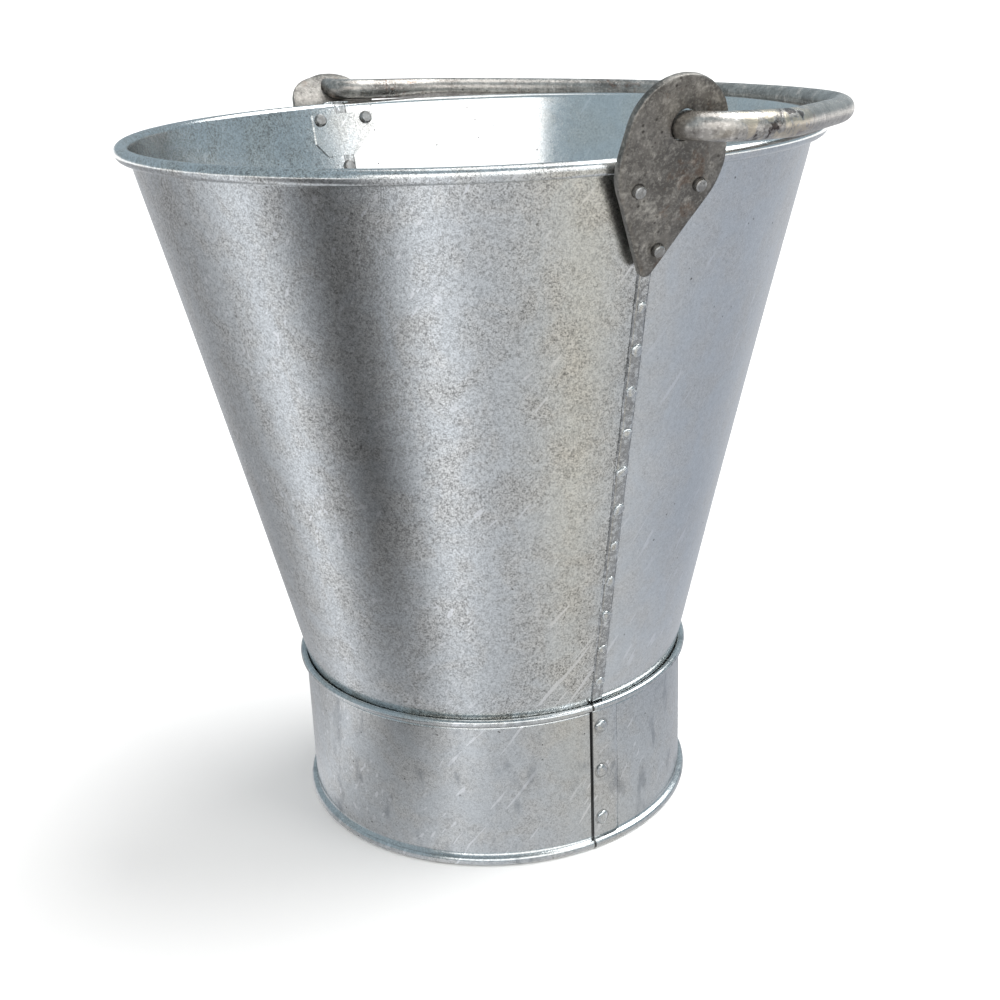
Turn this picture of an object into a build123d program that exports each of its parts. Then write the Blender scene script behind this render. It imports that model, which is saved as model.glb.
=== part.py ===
from build123d import *
from math import asin, atan2, cos, degrees, radians, sin, sqrt, tan
import os

# A galvanised stable bucket: flared body in two halves, wired rim, foot band, two ears and a bail.
# Millimetres. The origin is the centre of the foot ring on the floor, +Z is up, and the ears are on
# the X axis. The near ear is at +X, and the bail at rest lies down towards +Y.

os.makedirs("parts", exist_ok=True)

# Driving dimensions
height = 312.5
rim_radius = 150.0
sheet = 0.8
gap = 0.05
reach = 400.0
settle_rounds = 20

# Rolled rim
rim_wire_radius = 2.15
bead_bore = 2.2
bead_radius = 3.0
bead_z = height - bead_radius
bead_ring = rim_radius - bead_radius

# Flared wall, outer surface
skirt_bottom = 50.0
skirt_top = 72.0
wall_low_radius = 89.2
wall_top_radius = 144.8

# Side seams: the left half laps over the right half
seam_lean = 1.5
seam_top_y = -3.2
lap_root = 1.2
lap_width = 3.6
lap_rivet_y = 1.7
sleeve_reach = 7.0
sleeve_sheet = 0.7
seam_rivet_count = 11
seam_rivet_low = 84.0
seam_rivet_high = 256.0
seam_rivet_radius = 1.1
seam_head_radius = 2.2
seam_head_rise = 0.9

# Bottom
pan_radius = 88.3
pan_sheet = 0.9
pan_floor = 60.0
pan_bend = 3.0

# Foot band
band_radius = 90.2
band_sheet = 0.9
lip_radius = 1.5
lip_ring = 91.0
lip_z = 72.7
foot_wire_radius = 1.1
foot_bore = 1.15
foot_bead_radius = 2.0
foot_ring = 90.4
foot_z = 1.9
band_lap_start = 1.0
band_lap_length = 14.0
band_lap_sheet = 0.8
band_lap_low = 4.2
band_lap_high = 70.9
band_groove_width = 0.5
band_groove_depth = 0.4
band_rivet_y = 5.6
band_rivet_radius = 1.5
band_head_radius = 2.9
band_head_rise = 1.5

# Ears
ear_sheet = 3.0
ear_lean = 17.5
ear_face_x = 154.5
ear_shift = -2.0
ear_head_radius = 20.0
ear_head_s = 11.0
ear_belly_radius = 21.6
ear_belly_s = -0.5
ear_tip_radius = 2.6
ear_tip_s = -40.0
ear_tip_y = -3.0
ear_fold = 56.0
ear_fold_s = 3.0
ear_fold_half_width = 21.4
near_hole_radius = 6.35
far_hole_radius = 5.8
ear_rivet_radius = 2.2
ear_rivet_proud = 2.2
ear_rivet_offset = 12.5
ear_rivet_high_s = -8.5
ear_rivet_low_s = -32.0
tail_radius = 3.2
tail_rise = 1.2
tail_taper = 35.0
ear_rivet_edge = 0.35
ear_bore_depth = 14.0

# Backing plates inside the wall
backing_sheet = 0.9
backing_width = 33.0
backing_low = 287.0
backing_high = 307.5
backing_cut = 6.5

# Bail
rod_radius = 5.0
near_hole_z = height + 10.0
far_hole_z = height + 6.2
hinge_half = 159.0
bail_drop = 2.75
bail_radius = 154.9
near_leg_u = 170.5
near_turn = 38.0
near_shoulder = 60.0
far_leg_u = 147.2
far_turn = 30.0
far_shoulder = 50.0
elbow_radius = 9.5
near_stub_u = 150.5
far_stub_u = 170.5
peen_radius = 6.6
peen_length = 2.4
rod_chamfer = 1.2


wall_taper = (wall_top_radius - wall_low_radius) / (bead_z - skirt_top)
wall_slope = degrees(atan2(wall_top_radius - wall_low_radius, bead_z - skirt_top))


def wall_radius(z):
    return wall_low_radius + (z - skirt_top) * wall_taper


def wall_section(inside, outside, low=skirt_top, high=bead_z):
    """The strip between two copies of the wall's side, moved out by inside and outside."""
    with BuildSketch() as section:
        with BuildLine():
            Polyline(
                (wall_radius(low) + inside, low),
                (wall_radius(low) + outside, low),
                (wall_radius(high) + outside, high),
                (wall_radius(high) + inside, high),
                close=True,
            )
        make_face()
    return section.sketch_local


def ring_section(ring, z, outer, inner=0.0):
    """Draws a round section at radius ring and height z, hollow when inner is given."""
    with Locations((ring, z)):
        Circle(outer)
        if inner:
            Circle(inner, mode=Mode.SUBTRACT)


# The seam plane leans a little round the body, so both seams drift towards +Y at the bottom.
lean = radians(seam_lean)
seam_plane = Plane(origin=(0, seam_top_y, bead_z), x_dir=(1, 0, 0), z_dir=(0, cos(lean), sin(lean)))


def seam_y(z):
    return seam_top_y + (bead_z - z) * tan(lean)


def rivet_plane(side, y, z, radius, slope):
    """A plane on the body's outside, its normal along the rivet, at the +X or -X side."""
    turn = asin(y / radius)
    out = (side * cos(turn), sin(turn))
    normal = (out[0] * cos(radians(slope)), out[1] * cos(radians(slope)), -sin(radians(slope)))
    return Plane(origin=(radius * out[0], radius * out[1], z), x_dir=(-out[1], out[0], 0), z_dir=normal)


def seam_rivet_planes(side):
    pitch = (seam_rivet_high - seam_rivet_low) / (seam_rivet_count - 1)
    planes = []
    for k in range(seam_rivet_count):
        z = seam_rivet_low + k * pitch
        planes.append(rivet_plane(side, seam_y(z) + lap_rivet_y, z, wall_radius(z), wall_slope))
    return planes


def ear_plane(side):
    """The ear's outer face: local x across the ear, local y up along it from the rim bead."""
    a = radians(ear_lean)
    return Plane(origin=(side * ear_face_x, 0, bead_z), x_dir=(0, side, 0), z_dir=(side * cos(a), 0, -sin(a)))


def ear_rivet_points(side):
    shift = side * ear_shift
    return {
        "left": (shift - ear_rivet_offset, ear_rivet_high_s),
        "right": (shift + ear_rivet_offset, ear_rivet_high_s),
        "lower": (shift, ear_rivet_low_s),
    }


# Round pieces are turned from sections drawn on the YZ plane, a quarter turn away from the seams.
section_plane = Plane.YZ
sides = {"near": 1, "far": -1}

# Body halves
lap_low = lip_z + 2 * gap
lap_high = bead_z - bead_radius - 2 * gap

with BuildPart() as lap_strip:
    with BuildSketch(section_plane):
        add(wall_section(gap, sheet + gap, lap_low, lap_high))
    revolve(axis=Axis.Z)
    with BuildSketch(seam_plane.offset(-lap_root)):
        Rectangle(reach, 2 * reach)
    extrude(amount=lap_root + lap_width, mode=Mode.INTERSECT)

with BuildPart() as lap_anchor:
    with BuildSketch(section_plane):
        add(wall_section(-sheet / 2, sheet / 2, lap_low, lap_high))
    revolve(axis=Axis.Z)
    with BuildSketch(seam_plane.offset(-lap_root)):
        Rectangle(reach, 2 * reach)
    extrude(amount=lap_root, mode=Mode.INTERSECT)

with BuildPart() as sleeve_right:
    with BuildSketch(section_plane):
        ring_section(bead_ring, bead_z, bead_radius + sleeve_sheet, bead_radius + gap)
        with Locations((bead_ring - 2 * bead_radius, bead_z - bead_radius)):
            Rectangle(3 * bead_radius, 3 * bead_radius, mode=Mode.SUBTRACT)
    revolve(axis=Axis.Z)
    with BuildSketch(seam_plane):
        Rectangle(reach, reach)
    extrude(amount=sleeve_reach, mode=Mode.INTERSECT)

with BuildPart() as sleeve_left:
    with BuildSketch(section_plane):
        ring_section(bead_ring, bead_z, bead_radius + sleeve_sheet, (bead_bore + bead_radius) / 2)
    revolve(axis=Axis.Z)
    with BuildSketch(seam_plane):
        Rectangle(reach, reach)
    extrude(amount=-sleeve_reach, mode=Mode.INTERSECT)

with BuildPart() as body_shell:
    with BuildSketch(section_plane):
        add(wall_section(-sheet, 0))
        with Locations((wall_low_radius - sheet / 2, (skirt_bottom + skirt_top) / 2)):
            Rectangle(sheet, skirt_top - skirt_bottom)
        with Locations((bead_ring, bead_z)):
            Circle(bead_radius)
            Circle(bead_bore, mode=Mode.SUBTRACT)
    revolve(axis=Axis.Z)


# Shank holes of every seam and ear rivet
with BuildPart() as rivet_bores:
    for side in sides.values():
        for plane in seam_rivet_planes(side):
            with BuildSketch(plane.offset(-2 * sheet)):
                Circle(seam_rivet_radius + gap)
            extrude(amount=4 * sheet)
        with BuildSketch(ear_plane(side).offset(-ear_sheet - gap)):
            with Locations(*ear_rivet_points(side).values()):
                Circle(ear_rivet_radius + gap)
        extrude(amount=-ear_bore_depth)

with BuildPart() as body_half_right:
    add(body_shell.part)
    split(bisect_by=seam_plane, keep=Keep.TOP)
    add(rivet_bores.part, mode=Mode.SUBTRACT)

with BuildPart() as body_half_left:
    add(body_shell.part)
    split(bisect_by=seam_plane, keep=Keep.BOTTOM)
    add(lap_anchor.part)
    add(lap_strip.part)
    add(sleeve_left.part)
    add(sleeve_right.part)
    add(rivet_bores.part, mode=Mode.SUBTRACT)

with BuildPart() as rim_wire:
    with BuildSketch(section_plane):
        ring_section(bead_ring, bead_z, rim_wire_radius)
    revolve(axis=Axis.Z)

# Bottom pan, flanged down inside the skirt
with BuildPart() as bottom_pan:
    with BuildSketch(section_plane):
        with BuildLine():
            Polyline(
                (0, pan_floor),
                (pan_radius, pan_floor),
                (pan_radius, skirt_bottom),
                (pan_radius - pan_sheet, skirt_bottom),
                (pan_radius - pan_sheet, pan_floor - pan_sheet),
                (0, pan_floor - pan_sheet),
                close=True,
            )
        sketch = make_face()
        corners = sketch.vertices().filter_by_position(Axis.X, pan_radius - 2 * pan_sheet, pan_radius + gap)
        top_corner = corners.group_by(Axis.Y)[-1]
        fillet(top_corner, pan_bend)
        inner_corner = corners.group_by(Axis.Y)[-2]
        fillet(inner_corner, pan_bend - pan_sheet)
    revolve(axis=Axis.Z)

# Foot band, with its wired foot, rolled lip and riveted lap
band_rivet_heights = {"upper": 61.0, "middle": 38.5, "lower": 14.5}


def band_rivet_plane(z):
    return rivet_plane(1, band_rivet_y, z, band_radius + band_lap_sheet, 0.0)


with BuildPart() as band_lap:
    with BuildSketch(section_plane):
        with Locations((band_radius + band_lap_sheet / 2, (band_lap_low + band_lap_high) / 2)):
            Rectangle(band_lap_sheet + 2 * gap, band_lap_high - band_lap_low)
    revolve(axis=Axis.Z)
    with BuildSketch(Plane.YZ):
        with Locations((band_lap_start + band_lap_length / 2, height / 2)):
            Rectangle(band_lap_length, height)
    extrude(amount=reach, mode=Mode.INTERSECT)

with BuildPart() as foot_band:
    with BuildSketch(section_plane):
        with Locations((band_radius - band_sheet / 2, (foot_z + lip_z - lip_radius) / 2)):
            Rectangle(band_sheet, lip_z - lip_radius - foot_z)
        with Locations((foot_ring, foot_z)):
            Circle(foot_bead_radius)
            Circle(foot_bore, mode=Mode.SUBTRACT)
        ring_section(lip_ring, lip_z - lip_radius, lip_radius)
    revolve(axis=Axis.Z)
    with BuildSketch(Plane.XY):
        Rectangle(reach, reach)
    extrude(amount=-foot_bead_radius, mode=Mode.SUBTRACT)
    with BuildSketch(Plane.YZ.offset(band_radius - band_groove_depth)):
        with Locations((band_lap_start - band_groove_width / 2, (band_lap_low + band_lap_high) / 2)):
            Rectangle(band_groove_width, band_lap_high - band_lap_low)
    extrude(amount=band_groove_depth, mode=Mode.SUBTRACT)
    add(band_lap.part)
    for z in band_rivet_heights.values():
        with BuildSketch(band_rivet_plane(z).offset(-3 * band_sheet)):
            Circle(band_rivet_radius + gap)
        extrude(amount=6 * band_sheet, mode=Mode.SUBTRACT)

with BuildPart() as foot_wire:
    with BuildSketch(section_plane):
        ring_section(foot_ring, foot_z, foot_wire_radius)
    revolve(axis=Axis.Z)


def dome_section(radius, rise):
    """Half of a domed head on the local XZ plane, its flat side on the local XY plane."""
    with BuildSketch() as section:
        with BuildLine():
            Line((0, 0), (radius, 0))
            RadiusArc((radius, 0), (0, rise), -(radius**2 + rise**2) / (2 * rise))
            Line((0, rise), (0, 0))
        make_face()
    return section.sketch_local


def band_rivet(z):
    """A domed rivet that clamps the lap of the foot band."""
    plane = band_rivet_plane(z)
    with BuildPart() as rivet:
        with BuildSketch(plane.offset(gap)):
            Circle(band_rivet_radius)
        extrude(amount=-(band_sheet + band_lap_sheet + gap))
        with BuildSketch(Plane(origin=plane.origin, x_dir=plane.x_dir, z_dir=-plane.y_dir)):
            with Locations((0, gap)):
                add(dome_section(band_head_radius, band_head_rise))
        revolve(axis=Axis(plane.origin, plane.z_dir))
    return rivet.part


def seam_rivet(plane):
    """A small tinman's rivet: flat dome outside, shank through both sheets, flat tail inside."""
    outside = sheet + 2 * gap
    with BuildPart() as rivet:
        with BuildSketch(plane.offset(-sheet - 2 * gap)):
            Circle(seam_rivet_radius)
        extrude(amount=outside + sheet + 3 * gap)
        with BuildSketch(Plane(origin=plane.offset(outside).origin, x_dir=plane.x_dir, z_dir=-plane.y_dir)):
            add(dome_section(seam_head_radius, seam_head_rise))
        revolve(axis=Axis(plane.origin, plane.z_dir))
        with BuildSketch(plane.offset(-sheet - 2 * gap)):
            Circle(seam_head_radius)
        extrude(amount=-sheet / 2)
    return rivet.part


def rivet_depth(side, place):
    """How far an ear rivet runs in along its axis before it has passed the last sheet."""
    y, s = ear_rivet_points(side)[place]
    inset = sheet + gap + (backing_sheet + gap if s == ear_rivet_high_s else 0)
    a = radians(ear_lean)
    depth = ear_sheet
    for _ in range(settle_rounds):
        z = bead_z + s * cos(a) + depth * sin(a)
        wall_x = sqrt((wall_radius(z) - inset) ** 2 - y**2)
        depth = (ear_face_x + s * sin(a) - wall_x) / cos(a)
    tilt = sin(radians(ear_lean - wall_slope)) + abs(y) / wall_radius(z)
    return depth + gap + tail_radius * tilt


def ear_rivet(side, place):
    """A stub rivet through ear, wall and backing plate, with a low tail on the inside."""
    plane = ear_plane(side)
    centre = plane.from_local_coords(ear_rivet_points(side)[place])
    seat = Plane(origin=centre, x_dir=plane.x_dir, z_dir=plane.z_dir)
    depth = rivet_depth(side, place)
    with BuildPart() as rivet:
        with BuildSketch(seat.offset(ear_rivet_proud)):
            Circle(ear_rivet_radius)
        extrude(amount=-(depth + ear_rivet_proud))
        outer_rim = rivet.edges().filter_by(GeomType.CIRCLE).sort_by(Axis(centre, seat.z_dir))[-1]
        chamfer(outer_rim, ear_rivet_edge)
        with BuildSketch(seat.offset(-depth)):
            Circle(tail_radius)
        extrude(amount=-tail_rise, taper=tail_taper)
    return rivet.part


# Ears: a spade-shaped plate, its outline the hull of three circles
def ear_outline(side):
    shift = side * ear_shift
    with BuildSketch() as outline:
        with BuildLine():
            CenterArc((shift, ear_head_s), ear_head_radius, 0, 360)
            CenterArc((shift, ear_belly_s), ear_belly_radius, 0, 360)
            CenterArc((shift + side * ear_tip_y, ear_tip_s), ear_tip_radius, 0, 360)
        make_hull()
    return outline.sketch_local


hinge_near = Vector(hinge_half, 0, near_hole_z)
hinge_far = Vector(-hinge_half, 0, far_hole_z)
hinge_dir = (hinge_near - hinge_far).normalized()
hinge_centre = (hinge_near + hinge_far) * 0.5
drop = radians(bail_drop)
crown_dir = Vector(hinge_dir.Z * sin(drop), cos(drop), -hinge_dir.X * sin(drop))
bail_plane = Plane(origin=hinge_centre, x_dir=hinge_dir, z_dir=hinge_dir.cross(crown_dir))
print("hinge axis", hinge_centre, hinge_dir, "swing", 180 + 2 * bail_drop)


def hinge_plane(u):
    """A plane across the hinge axis at distance u along it from the bucket's centre."""
    return Plane(origin=hinge_centre + hinge_dir * u, x_dir=(0, 1, 0), z_dir=hinge_dir)


with BuildPart() as near_ear_plate:
    with BuildSketch(ear_plane(1)):
        add(ear_outline(1))
        with Locations(*ear_rivet_points(1).values()):
            Circle(ear_rivet_radius + gap, mode=Mode.SUBTRACT)
    extrude(amount=-ear_sheet)
    with BuildSketch(hinge_plane(near_stub_u)):
        Circle(near_hole_radius)
    extrude(amount=near_leg_u - near_stub_u, mode=Mode.SUBTRACT)

# The far ear is the same plate, knocked outwards along a fold just above the rim.
folded = radians(ear_fold)
far_plane = ear_plane(-1)
fold_origin = far_plane.from_local_coords((0, ear_fold_s))
fold_plane = Plane(origin=fold_origin, x_dir=(0, -1, 0), z_dir=(-cos(folded), 0, -sin(folded)))

with BuildPart() as far_ear_plate:
    with BuildSketch(far_plane):
        add(ear_outline(-1))
        with Locations((0, ear_fold_s + reach / 2)):
            Rectangle(reach, reach, mode=Mode.SUBTRACT)
        with Locations(*ear_rivet_points(-1).values()):
            Circle(ear_rivet_radius + gap, mode=Mode.SUBTRACT)
    extrude(amount=-ear_sheet)
    with BuildSketch(fold_plane):
        with Locations((0, -ear_fold_s)):
            add(ear_outline(-1))
        with Locations((0, -reach / 2)):
            Rectangle(reach, reach, mode=Mode.SUBTRACT)
    extrude(amount=-ear_sheet)
    with BuildSketch(Plane(origin=fold_origin, x_dir=(0, -1, 0), z_dir=far_plane.y_dir)):
        with Locations((-ear_shift, ear_sheet / 2)):
            Rectangle(2 * ear_fold_half_width, ear_sheet)
    revolve(axis=Axis(fold_origin, (0, -1, 0)), revolution_arc=ear_fold - ear_lean)
    with BuildSketch(hinge_plane(-far_leg_u)):
        Circle(far_hole_radius)
    extrude(amount=far_leg_u - far_stub_u - rod_radius, mode=Mode.SUBTRACT)

# Backing plates, curved to the inside of the wall
with BuildPart() as backing_ring:
    with BuildSketch(section_plane):
        add(wall_section(-sheet - gap - backing_sheet, -sheet - gap, backing_low, backing_high))
    revolve(axis=Axis.Z)
    add(rivet_bores.part, mode=Mode.SUBTRACT)


def backing_plate(side):
    """One plate cut from the backing ring: its lower corners are clipped to a blunt point."""
    half = backing_width / 2
    shift = side * ear_shift
    with BuildPart() as plate:
        add(backing_ring.part)
        with BuildSketch(Plane(origin=(0, 0, 0), x_dir=(0, side, 0), z_dir=(side, 0, 0))):
            with BuildLine():
                Polyline(
                    (shift - half, backing_high + sheet),
                    (shift + half, backing_high + sheet),
                    (shift + half, backing_low + backing_cut),
                    (shift + half - backing_cut, backing_low - sheet),
                    (shift - half + 2 * backing_cut, backing_low - sheet),
                    (shift - half, backing_low + 2 * backing_cut),
                    close=True,
                )
            make_face()
        extrude(amount=reach, mode=Mode.INTERSECT)
    return plate.part


# Bail: one bent rod with an upset near end, its path drawn in the hinge plane
def tangent_corner(leg_u, turn):
    """Where a straight leg at leg_u meets the line tangent to the main bow at the angle turn."""
    t = (leg_u - bail_radius * cos(radians(turn))) / sin(radians(turn))
    return (leg_u, bail_radius * sin(radians(turn)) - t * cos(radians(turn)))


def bow_point(turn):
    return (bail_radius * cos(radians(turn)), bail_radius * sin(radians(turn)))


far_angle = 180 - far_turn
far_corner = tangent_corner(far_leg_u, far_turn)
near_corner = tangent_corner(near_leg_u, near_turn)

with BuildPart() as bail_handle:
    with BuildLine(bail_plane) as bail_path:
        near_side = FilletPolyline(
            (near_stub_u, 0), (near_leg_u, 0), near_corner, bow_point(near_turn), radius=[elbow_radius, near_shoulder]
        )
        bow = RadiusArc(bow_point(near_turn), bow_point(far_angle), -bail_radius)
        far_side = FilletPolyline(
            bow_point(far_angle),
            (-far_corner[0], far_corner[1]),
            (-far_leg_u, 0),
            (-far_stub_u, 0),
            radius=[far_shoulder, elbow_radius],
        )
    with BuildSketch(hinge_plane(near_stub_u)):
        Circle(rod_radius)
    sweep(path=bail_path.wires()[0])
    with BuildSketch(hinge_plane(near_stub_u)):
        Circle(peen_radius)
    extrude(amount=-peen_length)
    round_edges = bail_handle.edges().filter_by(GeomType.CIRCLE)
    fillet(round_edges.filter_by(lambda edge: abs(edge.radius - peen_radius) < gap), peen_length / 3)
    far_end = bail_handle.faces().sort_by(Axis.X)[0]
    chamfer(far_end.edges(), rod_chamfer)

near_seam_rivets = Compound(children=[seam_rivet(plane) for plane in seam_rivet_planes(1)])
far_seam_rivets = Compound(children=[seam_rivet(plane) for plane in seam_rivet_planes(-1)])

pieces = {
    "body_half_left": body_half_left.part,
    "body_half_right": body_half_right.part,
    "rim_wire": rim_wire.part,
    "bottom_pan": bottom_pan.part,
    "foot_band": foot_band.part,
    "foot_wire": foot_wire.part,
    "near_ear_plate": near_ear_plate.part,
    "far_ear_plate": far_ear_plate.part,
    "near_seam_rivets": near_seam_rivets,
    "far_seam_rivets": far_seam_rivets,
    "bail_handle": bail_handle.part,
}
for name, z in band_rivet_heights.items():
    pieces[f"band_rivet_{name}"] = band_rivet(z)
for end, side in sides.items():
    pieces[f"{end}_backing_plate"] = backing_plate(side)
    for place in ("left", "right", "lower"):
        pieces[f"{end}_ear_rivet_{place}"] = ear_rivet(side, place)

for name, piece in pieces.items():
    piece.label = name
    export_step(piece, f"parts/{name}.step")
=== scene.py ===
import math

import bmesh
import bpy
import numpy as np
from mathutils import Matrix, Vector, noise


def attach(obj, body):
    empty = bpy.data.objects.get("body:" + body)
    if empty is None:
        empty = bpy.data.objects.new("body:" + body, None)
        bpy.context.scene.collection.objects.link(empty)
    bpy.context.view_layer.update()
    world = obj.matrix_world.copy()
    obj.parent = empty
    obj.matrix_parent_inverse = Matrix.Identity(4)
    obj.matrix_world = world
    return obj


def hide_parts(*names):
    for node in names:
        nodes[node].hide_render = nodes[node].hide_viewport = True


# Galvanised stable bucket: flared body, wired rim, foot band, two ears and a bail.
# Metres in the scene. Lengths in the dictionaries are millimetres, and mm turns them into metres.
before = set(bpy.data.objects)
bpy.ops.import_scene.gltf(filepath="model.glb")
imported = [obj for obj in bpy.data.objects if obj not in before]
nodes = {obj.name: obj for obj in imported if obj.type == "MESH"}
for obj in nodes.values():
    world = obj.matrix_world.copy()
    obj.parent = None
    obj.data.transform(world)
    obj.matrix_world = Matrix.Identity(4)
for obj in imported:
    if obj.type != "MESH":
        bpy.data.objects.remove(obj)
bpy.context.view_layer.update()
mm = 0.001


class Sock:  # a node output that can be used in sums
    def __init__(self, look, out):
        self.look = look
        self.out = out

    def sum(self, operation, left, right):
        return self.look.node("Math", {"operation": operation}, {0: left, 1: right})

    def __add__(self, other):
        return self.sum("ADD", self, other)

    def __radd__(self, other):
        return self.sum("ADD", other, self)

    def __sub__(self, other):
        return self.sum("SUBTRACT", self, other)

    def __rsub__(self, other):
        return self.sum("SUBTRACT", other, self)

    def __mul__(self, other):
        return self.sum("MULTIPLY", self, other)

    def __rmul__(self, other):
        return self.sum("MULTIPLY", other, self)

    def __gt__(self, other):
        return self.sum("GREATER_THAN", self, other)


class Look:  # the nodes of one material, or of the world
    def __init__(self, name, kind="materials", bare=False):
        self.owner = getattr(bpy.data, kind).new(name)
        self.owner.use_nodes = True
        self.tree = self.owner.node_tree
        if bare:
            self.tree.nodes.clear()
        else:
            self.shader = self.tree.nodes["Principled BSDF"]
            self.place = self.node("TexCoord", {}, {}, "Object")

    def node(self, kind, settings, values, out=0):
        made = self.tree.nodes.new("ShaderNode" + kind)
        for key, value in settings.items():
            setattr(made, key, value)
        for key, value in values.items():
            if isinstance(value, Sock):
                self.tree.links.new(value.out, made.inputs[key])
            else:
                made.inputs[key].default_value = value
        return Sock(self, made.outputs[out]) if made.outputs else None

    def noise(self, scale, detail=3.0, rough=0.55, twist=0.0, where=None):
        return self.node("TexNoise", {}, {"Vector": where or self.place, "Scale": scale, "Detail": detail,
                                          "Roughness": rough, "Distortion": twist})

    def cells(self, scale, out="Distance"):
        return self.node("TexVoronoi", {"feature": "F1"}, {"Vector": self.place, "Scale": scale}, out)

    def axis(self, number):  # the place along x, y or z, numbered 0, 1 and 2
        return self.node("SeparateXYZ", {}, {0: self.place}, number)

    def size(self, value):  # without its sign
        return self.node("Math", {"operation": "ABSOLUTE"}, {0: value})

    def farFrom(self, spot):
        return self.node("VectorMath", {"operation": "DISTANCE"}, {0: self.place, 1: spot}, 1)

    def ramp(self, value, low, high, start=0.0, end=1.0):  # a soft step from start to end
        return self.node("MapRange", {"interpolation_type": "SMOOTHSTEP"},
                         {"Value": value, "From Min": low, "From Max": high, "To Min": start, "To Max": end})

    def mix(self, factor, first, second, blend="MIX"):
        settings = {"data_type": "RGBA", "blend_type": blend}
        return self.node("Mix", settings, {0: factor, 6: first, 7: second}, 2)

    def stretch(self, x, y, z):
        return self.node("VectorMath", {"operation": "MULTIPLY"}, {0: self.place, 1: (x, y, z)})

    def bump(self, height, distance, strength=1.0, before=None):
        values = {"Height": height, "Distance": distance, "Strength": strength}
        if before is not None:
            values["Normal"] = before
        return self.node("Bump", {}, values)

    def feed(self, **sockets):
        for key, value in sockets.items():
            socket = self.shader.inputs[key.replace("_", " ")]
            if isinstance(value, Sock):
                self.tree.links.new(value.out, socket)
            else:
                socket.default_value = value
        return self.owner


def rgb(red, green, blue):
    return (red, green, blue, 1.0)


zinc = {"grain": 1050.0, "curl": 520.0, "flake": 520.0, "cloud": 14.0, "pits": 210.0, "grainRise": 0.000055,
        "seamTop": -3.2, "seamLean": 0.026186, "seamZ": 309.5, "lapFrom": -1.5, "lapTo": 3.65}


def seamPlace(look):  # metres from the seam plane towards +Y
    return look.axis(1) - zinc["seamTop"] * mm - (zinc["seamZ"] * mm - look.axis(2)) * zinc["seamLean"]


def edgeLine(look, across, at, half):  # 1 on a thin line beside the seam
    return look.ramp(look.size(across - at * mm), half * 0.5 * mm, half * 1.3 * mm, 1.0, 0.0)


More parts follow.
